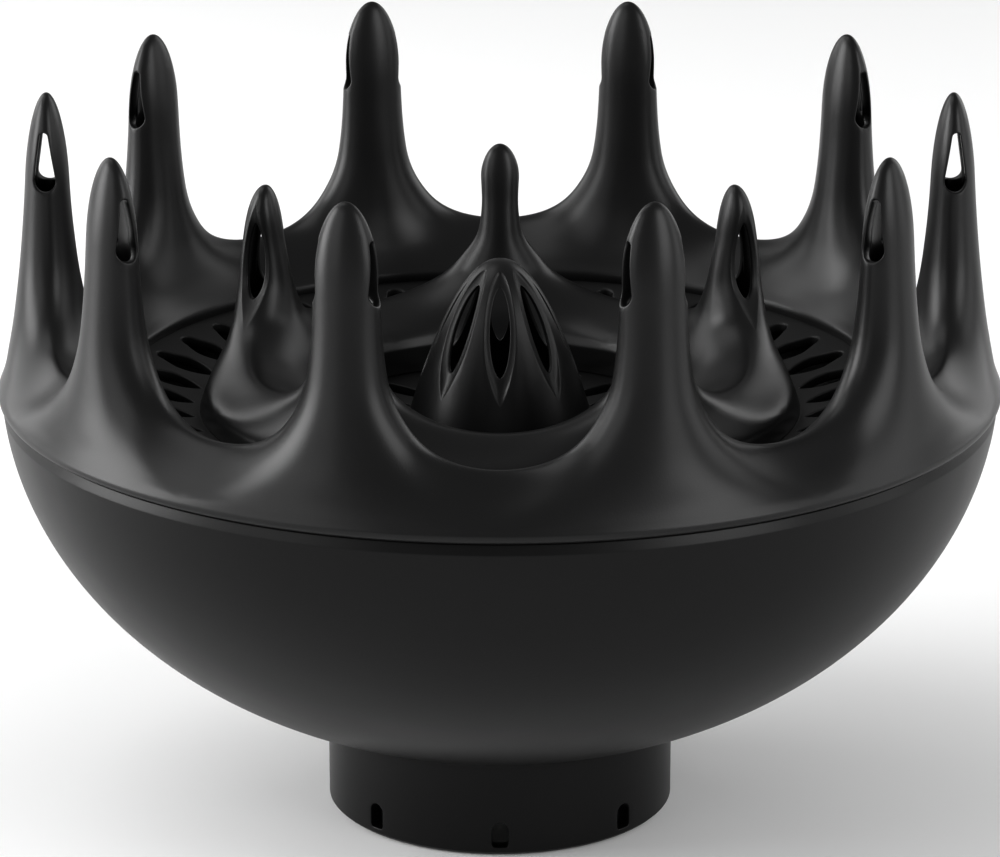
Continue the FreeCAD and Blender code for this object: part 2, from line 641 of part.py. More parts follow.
def air_deflector():
    """Shallow cone, tip down, that spreads the air under the grilles."""
    bottom = RING_SKIRT - GRILLE_THICK
    cone = lathe([(0, DEFLECTOR_TIP), (DEFLECTOR_RADIUS, DEFLECTOR_EDGE),
                  (DEFLECTOR_RADIUS, DEFLECTOR_EDGE + DEFLECTOR_THICK), (0, DEFLECTOR_TIP + DEFLECTOR_THICK)])
    foot = DEFLECTOR_EDGE - 0.2
    posts = spun(upright(DEFLECTOR_POST_RADIUS, DEFLECTOR_POST_CIRCLE, foot, bottom), DEFLECTOR_POSTS)
    pins = spun(upright(DEFLECTOR_PIN_RADIUS, DEFLECTOR_POST_CIRCLE, bottom - 1, bottom + DEFLECTOR_PIN),
                DEFLECTOR_POSTS)
    return cone.fuse(posts + pins)


def screws(circle, seat):
    """Five screws from below; seat is the underside that their heads bear on."""
    head = upright(SCREW_HEAD, circle, seat - SCREW_HEAD_HEIGHT, seat)
    shank = upright(SCREW_SHANK, circle, seat, seat + GRILLE_THICK + SCREW_GRIP)
    bars = []
    for length, width in ((SCREW_HEAD * 1.3, SCREW_SLOT), (SCREW_SLOT, SCREW_HEAD * 1.3)):
        corner = Vector(circle - length / 2, -width / 2, seat - SCREW_HEAD_HEIGHT)
        bars.append(Part.makeBox(length, width, SCREW_SLOT, corner))
    return Part.makeCompound(spun(head.fuse(shank).cut(bars), SCREW_COUNT))


PIECES = {
    "bowl_shell": bowl_shell,
    "nozzle_grip_ring": nozzle_grip_ring,
    "crown_seal_ring": crown_seal_ring,
    "crown_shell": crown_shell,
    "outer_grille": outer_grille,
    "inner_finger_ring": inner_finger_ring,
    "inner_grille": inner_grille,
    "centre_cone": centre_cone,
    "air_deflector": air_deflector,
    "crown_screws": lambda: screws(CROWN_POST_CIRCLE, CROWN_FLANGE - GRILLE_THICK),
    "ring_screws": lambda: screws(RING_POST_CIRCLE, RING_FOOT - GRILLE_THICK),
}

os.makedirs("parts", exist_ok=True)
for name, make in PIECES.items():
    shape = make()
    box = shape.BoundBox
    print(f"{name}: {len(shape.Solids)} solids, {shape.Volume / 1000:.2f} ml, valid {shape.isValid()},"
          f" z {box.ZMin:.2f} to {box.ZMax:.2f}, radius {box.XMax:.2f}")
    shape.exportStep(f"parts/{name}.step")
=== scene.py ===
"""Hair dryer diffuser in satin black plastic, standing on its collar on a white sweep.

Shapes are worked out in millimetres in the frame's axes and turned into metres when a mesh is made.
Angles run from the front (-Y) towards +X, as in the CAD source.
"""

import math

import bmesh
import bpy
import numpy as np
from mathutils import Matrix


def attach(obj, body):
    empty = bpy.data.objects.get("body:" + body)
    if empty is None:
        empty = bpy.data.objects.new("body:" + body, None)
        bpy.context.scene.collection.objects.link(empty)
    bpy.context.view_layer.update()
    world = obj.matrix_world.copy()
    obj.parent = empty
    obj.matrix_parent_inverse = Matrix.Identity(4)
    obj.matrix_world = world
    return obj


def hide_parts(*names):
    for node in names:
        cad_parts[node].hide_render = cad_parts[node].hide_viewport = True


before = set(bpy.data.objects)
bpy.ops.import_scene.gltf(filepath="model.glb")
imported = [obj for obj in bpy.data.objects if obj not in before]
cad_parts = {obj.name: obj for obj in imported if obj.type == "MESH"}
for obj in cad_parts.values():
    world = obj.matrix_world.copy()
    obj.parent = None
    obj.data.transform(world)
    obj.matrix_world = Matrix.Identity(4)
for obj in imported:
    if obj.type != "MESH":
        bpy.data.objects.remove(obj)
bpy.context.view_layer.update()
scene = bpy.context.scene
MM = 0.001
TURN = 2 * math.pi
WELD = 0.0004                       # points closer than this become one


# ---------------------------------------------------------------- meshes from grids of points
class Sheets:
    """Collects grids of points, in millimetres, that become one welded mesh."""

    def __init__(self):
        self.points = []
        self.faces = []
        self.count = 0

    def grid(self, rows, skip=None):
        """Quads between rows of points. skip = (first row, last row, first column, last column)."""
        rows = np.asarray(rows, float)
        n, m = rows.shape[:2]
        ids = self.count + np.arange(n * m).reshape(n, m)
        quads = np.stack([ids[:-1, :-1], ids[:-1, 1:], ids[1:, 1:], ids[1:, :-1]], -1)
        keep = np.ones((n - 1, m - 1), bool)
        if skip:
            keep[skip[0]:skip[1], skip[2]:skip[3]] = False
        self.points.append(rows.reshape(-1, 3))
        self.faces.append(quads[keep])
        self.count += n * m

    def loops(self, rows):
        """The same for closed loops."""
        rows = np.asarray(rows, float)
        self.grid(np.concatenate([rows, rows[:, :1]], 1))

    def spread(self, count, first=0.0, mirror=False):
        """Repeats everything so far evenly round the Z axis."""
        points = np.concatenate(self.points)
        faces = np.concatenate(self.faces)
        if mirror:
            other = points * [-1, 1, 1]
            faces = np.concatenate([faces, faces[:, ::-1] + len(points)])
            points = np.concatenate([points, other])
        copies = []
        quads = []
        for i in range(count):
            copies.append(about_z(points, first + TURN * i / count))
            quads.append(faces + i * len(points))
        self.points = copies
        self.faces = quads
        self.count = count * len(points)

    def join(self, other):
        """Adds another collection's points and faces."""
        self.points += other.points
        self.faces += [faces + self.count for faces in other.faces]
        self.count += other.count

    def mesh(self, name):
        data = bpy.data.meshes.new(name)
        points = np.concatenate(self.points) * MM
        data.from_pydata(points.tolist(), [], np.concatenate(self.faces).tolist())
        work = bmesh.new()
        work.from_mesh(data)
        bmesh.ops.remove_doubles(work, verts=work.verts, dist=WELD * MM)
        bmesh.ops.dissolve_degenerate(work, edges=work.edges, dist=1e-9)
        bmesh.ops.recalc_face_normals(work, faces=work.faces)
        for face in work.faces:
            face.smooth = True
        open_edges = sum(1 for edge in work.edges if len(edge.link_faces) != 2)
        print(f"{name}: {len(work.faces)} faces, {open_edges} open edges")
        work.to_mesh(data)
        work.free()
        return data


def about_z(points, angle):
    c = math.cos(angle)
    s = math.sin(angle)
    x, y, z = np.moveaxis(np.asarray(points, float), -1, 0)
    return np.stack([c * x - s * y, s * x + c * y, z], -1)


def round_point(radius, angle, z):
    """Point at this radius and this angle from the front, for arrays."""
    radius, angle, z = np.broadcast_arrays(radius, angle, z)
    return np.stack([radius * np.sin(angle), -radius * np.cos(angle), z], -1)


def local_point(out, along, z):
    """Point of the front sector: out from the axis, along the ring, up."""
    out, along, z = np.broadcast_arrays(out, along, z)
    return np.stack([along, -out, z], -1)


def rounded(corners, radius, steps=4):
    """Profile through (radius, z) corners with small rounds."""
    corners = [np.array(c, float) for c in corners]
    line = [corners[0]]
    for a, b, c in zip(corners, corners[1:], corners[2:]):
        back = np.linalg.norm(a - b)
        ahead = np.linalg.norm(c - b)
        d = min(radius, back * 0.45, ahead * 0.45)
        start = b + (a - b) / back * d
        end = b + (c - b) / ahead * d
        for i in range(steps + 1):
            t = i / steps
            line.append((1 - t)**2 * start + 2 * t * (1 - t) * b + t * t * end)
    line.append(corners[-1])
    return line


def turned(profile, segments=240, closed=True):
    """Rows of a turned piece, one row for each profile point."""
    angles = np.linspace(0, TURN, segments + 1)
    profile = list(profile) + ([profile[0]] if closed else [])
    return [round_point(r, angles, z) for r, z in profile]


# ---------------------------------------------------------------- openings with rounded rims
def outline_at(outline, border):
    """Points of a closed outline, one for each point of the border loop round it."""
    middle = (outline.max(0) + outline.min(0)) / 2
    half = (outline.max(0) - outline.min(0)) / 2
    place = (outline - middle) / half
    angle = np.arctan2(place[:, 1], place[:, 0])
    order = np.argsort(angle)
    reach = np.hypot(place[:, 0], place[:, 1])[order]
    turn = np.arctan2((border[:, 1] - middle[1]) / half[1], (border[:, 0] - middle[0]) / half[0])
    for tip in (math.pi / 2, -math.pi / 2):
        turn[np.argmin(np.abs(turn - tip))] = tip
    r = np.interp(turn, angle[order], reach, period=TURN)
    return middle + half * np.stack([r * np.cos(turn), r * np.sin(turn)], -1)


def outwards(loop):
    """Unit normals of a closed loop in the plane, pointing away from its middle."""
    run = np.roll(loop, -1, 0) - np.roll(loop, 1, 0)
    normal = np.stack([run[:, 1], -run[:, 0]], -1)
    normal /= np.maximum(np.linalg.norm(normal, axis=1), 1e-9)[:, None]
    side = np.sum(normal * (loop - loop.mean(0)), 1)
    return normal * (1 if side.mean() > 0 else -1)


def opening(border, inner_border, hole, outer, inner, rim, rings=5, pocket=None, floor=None):
    """Rows of (u, v, w) from a border loop into an opening and out to the inner border.

    outer and inner give w on the two skins. rim is the radius of the opening's edge. pocket is the
    outline of a recess round the hole, and floor gives w inside it.
    """
    brink = outline_at(pocket, border) if pocket is not None else border
    start = outline_at(hole, brink)
    away = outwards(start)
    rows = []

    def add(loop, w):
        rows.append(np.concatenate([loop, w[:, None]], 1))

    edge = start + away * rim
    ground = floor if floor else outer
    if pocket is not None:
        lip = 0.07 * outwards(brink)
        for i in range(rings):
            loop = border + (brink + lip - border) * i / rings
            add(loop, outer(loop))
        add(brink + lip, outer(brink + lip))
        add(brink, outer(brink) - 0.02)
        shelf = brink - lip
        for i in range(4):
            loop = shelf + (edge - shelf) * i / 4
            add(loop, ground(loop))
    else:
        for i in range(rings):
            loop = border + (edge - border) * i / rings
            add(loop, outer(loop))
    for i in range(5):
        turn = math.pi / 2 * i / 4
        loop = start + away * rim * (1 - math.sin(turn))
        add(loop, ground(loop) - rim * (1 - math.cos(turn)))
    top = ground(start) - rim
    low = inner(start)
    rim_in = np.minimum(rim, np.maximum(top - low, 0.1) * 0.4)
    add(start, top + (low + rim_in - top) * 0.5)
    for i in range(3):
        turn = math.pi / 2 * i / 2
        loop = start + away * (rim_in * (1 - math.cos(turn)))[:, None]
        add(loop, inner(loop) + rim_in * (1 - math.sin(turn)))
    edge = start + away * rim_in[:, None]
    for i in range(1, 4):
        loop = edge + (inner_border - edge) * i / 3
        add(loop, inner(loop))
    return np.array(rows)


def border_of(grid, block):
    """The loop round a block of a grid, in order."""
    r0, r1, c0, c1 = block
    top = grid[r0, c0:c1]
    right = grid[r0:r1, c1]
    bottom = grid[r1, c1:c0:-1]
    left = grid[r1:r0:-1, c0]
    return np.concatenate([top, right, bottom, left])


def teardrop(centre, bottom, top, low_radius, high_radius):
    low = bottom + low_radius
    high = top - high_radius
    lean = math.asin((low_radius - high_radius) / (high - low))
    loop = []
    for t in np.linspace(lean, math.pi - lean, 40):
        loop.append((centre + high_radius * math.cos(t), high + high_radius * math.sin(t)))
    for t in np.linspace(0, 1, 40)[1:-1]:
        a = (centre - high_radius * math.cos(lean), high + high_radius * math.sin(lean))
        b = (centre - low_radius * math.cos(lean), low + low_radius * math.sin(lean))
        loop.append((a[0] + (b[0] - a[0]) * t, a[1] + (b[1] - a[1]) * t))
    for t in np.linspace(math.pi - lean, TURN + lean, 60):
        loop.append((centre + low_radius * math.cos(t), low + low_radius * math.sin(t)))
    for t in np.linspace(0, 1, 40)[1:-1]:
        a = (centre + low_radius * math.cos(lean), low + low_radius * math.sin(lean))
        b = (centre + high_radius * math.cos(lean), high + high_radius * math.sin(lean))
        loop.append((a[0] + (b[0] - a[0]) * t, a[1] + (b[1] - a[1]) * t))
    return np.array(loop)


def almond_half(v, shape):
    """Half-width at height v of an almond: (low, high, width, where it is widest, and how sharp its low
    and high tips are)."""
    low, high, width, waist, low_tip, high_tip = shape
    t = np.clip((v - low) / (high - low), 0, 1)
    s = np.where(t > waist, (t - waist) / (1 - waist), (waist - t) / waist)
    return width / 2 * (1 - s**2)**np.where(t > waist, high_tip, low_tip)


def almond(centre, shape):
    low, high = shape[:2]
    v = (low + high) / 2 + (high - low) / 2 * np.sin(np.linspace(-math.pi / 2, math.pi / 2, 120))
    half = almond_half(v, shape)
    right = np.stack([centre + half, v], -1)
    left = np.stack([centre - half, v], -1)[::-1]
    return np.concatenate([right, left[1:-1]])


# ---------------------------------------------------------------- finger rings
def curve(points):
    """Smooth curve through a few (x, y) points with no overshoot, for arrays."""
    x, y = np.array(points, float).T
    step = np.diff(x)
    rise = np.diff(y) / step
    slope = np.concatenate([[rise[0]], np.zeros(len(x) - 2), [rise[-1]]])
    same = rise[:-1] * rise[1:] > 0
    total = np.where(same, rise[:-1] + rise[1:], 1)
    slope[1:-1] = np.where(same, 2 * rise[:-1] * rise[1:] / total, 0)

    def at(q):
        i = np.clip(np.searchsorted(x, q, side="right") - 1, 0, len(step) - 1)
        t = np.clip((q - x[i]) / step[i], 0, 1)
        start = (2 * t**3 - 3 * t**2 + 1) * y[i] + (t**3 - 2 * t**2 + t) * step[i] * slope[i]
        end = (3 * t**2 - 2 * t**3) * y[i + 1] + (t**3 - t**2) * step[i] * slope[i + 1]
        return start + end
    return at


def dome(drop, depth):
    return np.sqrt(np.clip(1 - np.clip(1 - drop / depth, 0, 1)**2, 0, 1))


class Skin:
    """One skin of a ring of fingers. wall = 0 is the outside."""

    def __init__(self, ring, wall=0.0):
        self.__dict__.update(ring)
        self.wall = wall
        self.tip = ring["tip"] - 2 * wall
        self.out_curve = curve(ring["outward"])
        self.in_curve = curve(ring["inward"])
        self.narrow_curve = curve(ring["narrowness"])
        self.reach_out = float(self.section(np.array(self.base), np.array(True))[0])
        self.reach_in = float(self.section(np.array(self.base), np.array(False))[0])

    def section(self, z, outside):
        blend = np.clip((z - self.base) / 4.0, 0, 1)
        level = z + self.wall * blend
        depth = np.where(outside, self.out_curve(level), self.in_curve(level))
        narrow = self.narrow_curve(level)
        if self.wall:
            base_wall = np.where(outside, self.wall_outer, self.wall_inner)
            depth = depth - self.wall * blend - base_wall * (1 - blend)
            half = 1 / np.maximum(narrow, 1.0)
            thinner = self.count * self.wall / (2 * self.axis) * np.sqrt(1 - half**2)
            narrow = np.where(narrow > 1, 1 / np.maximum(half - thinner, 0.02), narrow)
        drop = self.tip - z
        return depth * dome(drop, self.dome_depth), narrow / np.maximum(dome(drop, self.dome_width), 1e-6)

    def bump(self, offset, angle):
        """How far the flare lowers a valley's sides."""
        wave = np.abs(np.sin(self.count * angle / 2))
        reach = np.where(offset > 0, self.reach_out, self.reach_in)
        share = np.minimum(np.abs(offset) / reach, 1)
        soft = (np.hypot(share, 0.1) - 0.1) / (math.hypot(1, 0.1) - 0.1)
        side = np.where(offset > 0, 0.8, 0.5)
        return self.flare * side * wave**4 * np.sin(math.pi * soft)

    def level(self, offset, angle):
        offset, angle = np.broadcast_arrays(offset, angle)
        wave = np.abs(np.sin(self.count * angle / 2))
        low = np.full(offset.shape, float(self.base))
        high = np.full(offset.shape, float(self.tip))
        for _ in range(34):
            middle = (low + high) / 2
            depth, narrow = self.section(middle, offset > 0)
            inside = (depth > 1e-9) & ((offset / np.maximum(depth, 1e-9))**2 + (narrow * wave)**2 < 1)
            low = np.where(inside, middle, low)
            high = np.where(inside, high, middle)
        return low - self.bump(offset, angle)

    def belt(self, psi, z):
        """Offset, angle and height of the section's outline, psi from outwards round to inwards."""
        depth, narrow = self.section(z, np.cos(psi) > 0)
        offset = depth * np.cos(psi)
        angle = 2 / self.count * np.arcsin(np.clip(np.sin(psi) / np.maximum(narrow, 1), 0, 1))
        return offset, angle, z - self.bump(offset, angle)

    def side(self, place):
        """Distance along the ring of the finger's side at local (out, z) places."""
        out, z = place[:, 0], place[:, 1]

        def inside(angle):
            offset = (self.axis + out) / np.cos(angle) - self.axis
            depth, narrow = self.section(z + self.bump(offset, angle), offset > 0)
            wave = np.sin(self.count * angle / 2)
            return (offset / np.maximum(depth, 1e-9))**2 + (narrow * wave)**2 < 1
        step = math.pi / self.count / 24
        low = np.zeros(out.shape)
        for i in range(1, 24):
            low = np.where(inside(np.full(out.shape, i * step)), i * step, low)
        high = low + step
        for _ in range(36):
            middle = (low + high) / 2
            within = inside(middle)
            low = np.where(within, middle, low)
            high = np.where(within, high, middle)
        return (self.axis + out) * np.tan(low)


def half_finger(skin, waist, upper, columns, lower_rows):
    """Grid of one half of a finger, from its tip down to the base, and its base points."""
    outer_side, valley_side, inner_side = columns
    total = sum(columns)
    psi = math.pi * np.arange(total + 1) / total
    half = math.pi / skin.count
    base = []
    for i in range(outer_side):
        base.append((skin.reach_out, half * i / outer_side))
    for i in range(valley_side):
        t = 1 - 2 * i / valley_side
        spread = math.copysign(abs(t)**1.5, t)
        reach = skin.reach_out if spread > 0 else skin.reach_in
        base.append((reach * spread, half))
    for i in range(inner_side + 1):
        base.append((-skin.reach_in, half * (1 - i / inner_side)))
    base = np.array(base)
    rows = []
    for z in list(upper) + [waist]:
        offset, angle, height = skin.belt(psi, np.full(psi.shape, float(z)))
        rows.append(np.stack([offset, angle, height], -1))
    start = rows[-1][:, :2]
    share = np.linspace(0, 1, 260)[:, None, None]**1.8
    flat = start + (base - start) * share
    line = np.concatenate([flat, skin.level(flat[..., 0], flat[..., 1])[..., None]], -1)
    line[0] = rows[-1]
    scaled = line * [1, skin.axis, 1]
    run = np.concatenate([np.zeros((1, total + 1)),
                          np.cumsum(np.linalg.norm(np.diff(scaled, axis=0), axis=2), 0)])
    fine = np.linspace(0, 1, lower_rows + 1)[1:]
    lower = np.zeros((lower_rows, total + 1, 3))
    for k in range(total + 1):
        for axis in range(2):
            lower[:, k, axis] = np.interp(fine * run[-1, k], run[:, k], line[:, k, axis])
    lower[..., 2] = skin.level(lower[..., 0], lower[..., 1])
    grid = np.concatenate([np.array(rows), lower])
    return grid, base


def finger_ring(ring, waist, upper_heights, columns, lower_rows, block, hole, rim_radius, rim, lip, wall,
                rings=5, pocket=None, floor=None):
    """A hollow ring of fingers as one welded mesh."""
    sheets = Sheets()
    skins = [Skin(ring), Skin(ring, wall)]
    borders = []
    bases = []
    for skin, rows in zip(skins, (lower_rows, 14)):
        tips = upper_heights(skin)
        grid, base = half_finger(skin, waist, tips, columns, rows)
        polar_grid = round_point(skin.axis + grid[..., 0], grid[..., 1], grid[..., 2])
        sheets.grid(polar_grid, block)
        flat = np.stack([-polar_grid[..., 1] - skin.axis, polar_grid[..., 2]], -1)
        borders.append(border_of(flat, block))
        bases.append(base)
    outer, inner = skins
    cuts = opening(borders[0], borders[1], hole, outer.side, inner.side, rim_radius,
                   rings=rings, pocket=pocket, floor=(lambda p: floor(outer, p)) if floor else None)
    sheets.loops(local_point(outer.axis + cuts[..., 0], cuts[..., 2], cuts[..., 1]))
    half = math.pi / outer.count
    for corners, count, reach in ((rim, columns[0], (outer.reach_out, inner.reach_out)),
                                  (lip, columns[2], (-outer.reach_in, -inner.reach_in))):
        ends = [(outer.axis + r, outer.base) for r in reach]
        profile = rounded([ends[0]] + corners + [ends[1]], 0.35)
        angles = half * np.arange(count + 1) / count
        sheets.grid([round_point(r, angles, z) for r, z in profile])
    sheets.spread(outer.count, math.radians(ring["first_angle"]), mirror=True)
    return sheets


CROWN = {
    "count": 10, "first_angle": 18.0, "axis": 67.0, "tip": 110.5, "base": 67.3,
    "outward": [(67.3, 7.85), (69.5, 7.1), (72, 6.6), (77, 5.7), (88, 4.3), (98, 3.45), (110.5, 2.8)],
    "inward": [(67.3, 9.8), (69, 8.6), (72, 7.0), (78, 5.1), (86, 3.85), (95, 3.15), (110.5, 2.7)],
    "narrowness": [(67.3, 0), (70.5, 0.52), (73.7, 1), (79, 1.66), (86, 2.46), (93, 2.8), (110.5, 3.15)],
    "dome_depth": 12.5, "dome_width": 10.5, "flare": 1.9, "wall_outer": 2.4, "wall_inner": 1.8,
}
RING = {
    "count": 5, "first_angle": 36.0, "axis": 37.3, "tip": 93.5, "base": 65.0,
    "outward": [(65, 7.0), (67, 6.4), (70.7, 5.2), (75, 4.6), (80.5, 4.1), (86, 3.6), (93.5, 3.4)],
    "inward": [(65, 9.3), (68.5, 8.0), (71.3, 6.5), (74.2, 5.0), (80.5, 3.6), (86, 2.8), (93.5, 2.6)],
    "narrowness": [(65, 0), (67.3, 0.55), (69.4, 1), (71.2, 1.4), (73.3, 1.95), (76, 2.6), (80, 3.85),
                   (86, 4.75), (93.5, 5.2)],
    "dome_depth": 11.0, "dome_width": 5.5, "flare": 1.1, "wall_outer": 1.6, "wall_inner": 1.6,
}
POCKET = (72.8, 90.9, 4.5, 0.42, 1.0, 0.95)
POCKET_HOLE = (76.7, 88.0, 2.9, 0.36, 0.55, 0.72)
POCKET_SHIFT = 0.6                  # outwards from the middle of the finger
CONE_RECESS = (65.6, 83.9, 4.7, 0.5, 0.95, 0.55)
CONE_HOLE = (69.4, 81.8, 3.0, 0.5, 0.62, 0.6)
FINGER_WALL = 1.15


def heights(block_top, block_low, rows, cap_rows):
    """Heights down a finger: the domed cap, then even rows beside the hole."""
    def at(skin):
        top = min(block_top, skin.tip - 0.8)
        cap = skin.tip - (skin.tip - top) * (1 - np.cos(np.linspace(0, math.pi / 2, cap_rows + 1)))
        return list(cap) + list(np.linspace(top, block_low, rows + 1)[1:])
    return at


def scoop(skin, place):
    """Floor of the almond pockets: flat across, and a little hollow."""
    v = place[:, 1]
    half = np.maximum(almond_half(v, POCKET), 0.02)
    left = skin.side(np.stack([POCKET_SHIFT - half, v], -1))
    right = skin.side(np.stack([POCKET_SHIFT + half, v], -1))
    t = np.clip((place[:, 0] - POCKET_SHIFT) / half, -1, 1)
    hollow = 0.3 * np.clip(half / 1.6, 0, 1)
    return left + (right - left) * (t + 1) / 2 - hollow * (1 - t**2)


def crown_shell():
    rim = [(75.05, 66.9), (75.05, 66.35), (74.65, 65.72), (71.9, 65.72)]
    lip = [(57.2, 65.95), (59.0, 65.95)]
    return finger_ring(CROWN, 92.0, heights(106.9, 93.6, 26, 14), (16, 30, 12), 46,
                       (14, 40, 12, 46), teardrop(0.2, 96.4, 105.2, 1.6, 0.62), 0.3, rim, lip, FINGER_WALL)


def inner_finger_ring():
    rim = [(44.5, 64.6), (45.2, 62.5), (43.4, 62.5)]
    lip = [(27.6, 64.2), (27.6, 60.0), (29.2, 60.0)]
    return finger_ring(RING, 71.8, heights(91.7, 72.2, 34, 8), (14, 32, 12), 34,
                       (8, 42, 12, 46), almond(POCKET_SHIFT, POCKET_HOLE), 0.18, rim, lip, FINGER_WALL,
                       rings=9, pocket=almond(POCKET_SHIFT, POCKET), floor=scoop)


# ---------------------------------------------------------------- bowl, grilles and cone
BOWL_RADIUS = 74.67                 # the bowl is half an ellipsoid, hung from BOWL_CENTRE
BOWL_CENTRE = 68.97
BOWL_DEPTH = 57.83
BOWL_WALL = 2.4
BOWL_TOP = 63.9                     # where the bowl meets the bevel under the seam
COLLAR = 26.35
BORE = 24.0
WINDOWS = 8
WINDOW_HALF = 1.25
WINDOW_TOP = 5.1
WINDOW_FOOT = 1.2


def bowl_arc(wall, first, last, turn):
    """Points (radius, z) on the bowl's outline, from one angle at its centre to another."""
    radius = BOWL_RADIUS - wall
    depth = BOWL_DEPTH - wall
    angles = [first + (last - first) * t for t in turn]
    return [(radius * math.sin(a), BOWL_CENTRE - depth * math.cos(a)) for a in angles]


def bowl_shell():
    sheets = Sheets()
    segments = 256
    sill = 0.85
    head = 5.5
    neck = 14.9
    start, corner, end = (COLLAR, neck - 1.5), (COLLAR, neck), (28.0, 15.55)
    blend = []
    for t in np.linspace(0, 1, 9)[1:-1]:
        blend.append(((1 - t)**2 * start[0] + 2 * t * (1 - t) * corner[0] + t * t * end[0],
                      (1 - t)**2 * start[1] + 2 * t * (1 - t) * corner[1] + t * t * end[1]))
    turn = np.linspace(0, 1, 71)
    outside = bowl_arc(0.0, math.asin(end[0] / BOWL_RADIUS),
                       math.acos((BOWL_CENTRE - BOWL_TOP) / BOWL_DEPTH), turn)
    step = 21.6                     # radius of the stop for the nozzle
    inner_depth = BOWL_DEPTH - BOWL_WALL
    inside = bowl_arc(BOWL_WALL, math.acos((BOWL_CENTRE - 63.0) / inner_depth),
                      math.asin(step / (BOWL_RADIUS - BOWL_WALL)), turn)
    edge = rounded([outside[-2], outside[-1], (73.9, 65.4), (71.8, 65.4), (71.8, 66.9), (70.5, 66.9),
                    (70.5, 64.6), inside[0]], 0.16)[1:-1]
    outside = outside[:-1]
    groove = 25.2                   # bottom of the groove that holds the grip ring
    bore = rounded([inside[-1], (step, 14.2), (BORE, 14.2), (BORE, 13.0), (groove, 13.0), (groove, 7.0),
                    (BORE, 7.0), (BORE, head)], 0.25)[1:]
    foot = rounded([(BORE, sill), (BORE, 0.45), (BORE + 0.4, 0.0), (COLLAR - 0.5, 0.0), (COLLAR, 0.45),
                    (COLLAR, sill)], 0.1)
    side = [(COLLAR, z) for z in (head, 7.5, 10.5, neck - 1.5)]
    sheets.grid(turned(foot, segments, closed=False))
    sheets.grid(turned(side + blend + outside + edge + inside + bore, segments, closed=False))
    rows = 10
    columns = segments // WINDOWS
    block = (0, rows, columns // 2 - 6, columns // 2 + 6)
    angles = np.linspace(-math.pi / WINDOWS, math.pi / WINDOWS, columns + 1)
    level = np.linspace(head, sill, rows + 1)
    panels = []
    for radius in (COLLAR, BORE):
        panels.append(np.stack([round_point(radius, angles, z) for z in level]))
    half = WINDOW_HALF
    spring = WINDOW_TOP - half
    soft = 0.2                      # bevel of the window's lower corners
    arch = [(half * math.cos(t), spring + half * math.sin(t)) for t in np.linspace(0, math.pi, 30)]
    arch += [(-half, z) for z in np.linspace(spring, WINDOW_FOOT + soft, 16)[1:]]
    arch += [(x, WINDOW_FOOT) for x in np.linspace(-half + soft, half - soft, 14)]
    arch += [(half, z) for z in np.linspace(WINDOW_FOOT + soft, spring, 16)[:-1]]
    window = Sheets()
    borders = []
    for grid in panels:
        window.grid(grid, block)
        borders.append(border_of(np.stack([grid[..., 0], grid[..., 2]], -1), block))
    cuts = opening(borders[0], borders[1], np.array(arch), lambda p: np.sqrt(COLLAR**2 - p[:, 0]**2),
                   lambda p: np.sqrt(BORE**2 - p[:, 0]**2), 0.14, rings=3)
    window.loops(local_point(cuts[..., 2], cuts[..., 0], cuts[..., 1]))
    window.spread(WINDOWS)
    sheets.join(window)
    return sheets


def leaf(inner, outer, width, end_radius):
    """Slot outline in (along, out): pointed inside, round outside."""
    widest = inner + 0.56 * (outer - inner)
    shoulder = outer - end_radius
    s = np.linspace(0, 1, 50)
    side = [(width * (1.06 * t - 0.56 * t * t), inner + (widest - inner) * t) for t in s]
    for t in s[1:]:
        bend = width / 2 + (end_radius - width / 2) * t + 0.28 * t * (1 - t)
        side.append((bend, widest + (shoulder - widest) * t))
    for t in np.linspace(0, math.pi / 2, 20)[1:]:
        side.append((end_radius * math.cos(t), shoulder + end_radius * math.sin(t)))
    other = [(-x, y) for x, y in side[1:-1]][::-1]
    return np.array(side + other)


def grille(sheets, count, first, low, high, top, bottom, slot, rim, columns=12, rows=14):
    """One slotted band, as a whole ring."""
    half = math.pi / count
    angles = np.linspace(-half, half, columns + 1)
    radii = np.linspace(low, high, rows + 1)
    block = (0, rows, 0, columns)
    part = Sheets()
    borders = []
    for surface in (top, bottom):
        grid = np.stack([round_point(r, angles, surface(r)) for r in radii])
        borders.append(border_of(np.stack([grid[..., 0], -grid[..., 1]], -1), block))
    cuts = opening(borders[0], borders[1], slot, lambda p: top(np.hypot(p[:, 0], p[:, 1])),
                   lambda p: bottom(np.hypot(p[:, 0], p[:, 1])), rim, rings=4)
    part.loops(local_point(cuts[..., 1], cuts[..., 0], cuts[..., 2]))
    part.spread(count, first)
    sheets.join(part)
    return count * columns


GRILLE_THICK = 1.6
GRILLE_SLOPE = 0.30
GRILLE_FOOT = 45.4                  # radius where the outer grille starts to rise
RING_FOOT = 62.5                    # height of the inner ring's foot
CROWN_FLANGE = 66.2
CROWN_LAND = 59.1
INNER_FLOOR = 60.0                  # top of the inner grille


